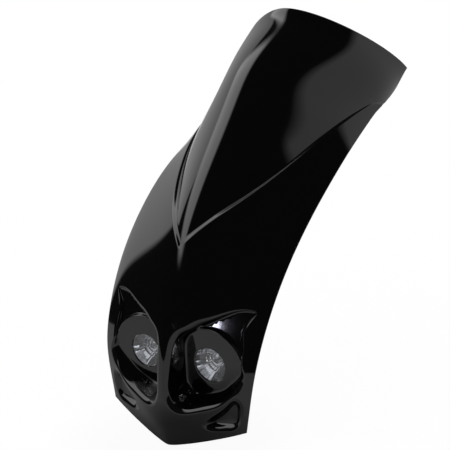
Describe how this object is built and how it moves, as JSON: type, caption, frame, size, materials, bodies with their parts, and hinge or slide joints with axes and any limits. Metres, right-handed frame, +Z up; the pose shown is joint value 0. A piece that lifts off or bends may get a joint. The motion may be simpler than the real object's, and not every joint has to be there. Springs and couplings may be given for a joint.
{
  "type": "motorcycle headlight fairing",
  "caption": "One-piece gloss black motorcycle headlight fairing with a screen rising out of a V notch, two lamps in eye-shaped pockets and fixing studs behind",
  "frame": {"origin": "The middle of the four fixing studs, on the back face of the lamp floor they are bonded to", "axes": "The front faces -Y, +X is the viewer's right as seen from the front, +Z is up; the studs stand out along +Y"},
  "size_m": [0.291, 0.5091, 0.5485],
  "materials": {
    "gloss_shell": "gloss black gel coat, smooth and mirror-like",
    "lamp_glass": "clear cover glass",
    "reflector": "bright mirror coating on faceted glass",
    "quartz": "clear quartz capsule",
    "ceramic": "matt off-white ceramic",
    "pin_metal": "plated lamp pins",
    "seal_rubber": "matt black rubber",
    "clamp_steel": "satin black paint",
    "screw_steel": "bright zinc plate",
    "stud_steel": "zinc plated"
  },
  "bodies": {
    "root": {"fairing_shell": "gloss_shell", "lamp_glass_left": "lamp_glass", "lamp_glass_right": "lamp_glass", "lamp_reflector_left": "reflector", "lamp_reflector_right": "reflector", "lamp_capsule_left": "quartz", "lamp_capsule_right": "quartz", "lamp_base_left": "ceramic", "lamp_base_right": "ceramic", "lamp_pins_left": "pin_metal", "lamp_pins_right": "pin_metal", "lamp_socket_left": "ceramic", "lamp_socket_right": "ceramic", "lamp_gasket_left": "seal_rubber", "lamp_gasket_right": "seal_rubber", "clamp_ring_left": "clamp_steel", "clamp_ring_right": "clamp_steel", "clamp_screws_left": "screw_steel", "clamp_screws_right": "screw_steel", "fixing_stud_upper_left": "stud_steel", "fixing_stud_upper_right": "stud_steel", "fixing_stud_lower_left": "stud_steel", "fixing_stud_lower_right": "stud_steel"}
  },
  "joints": []
}
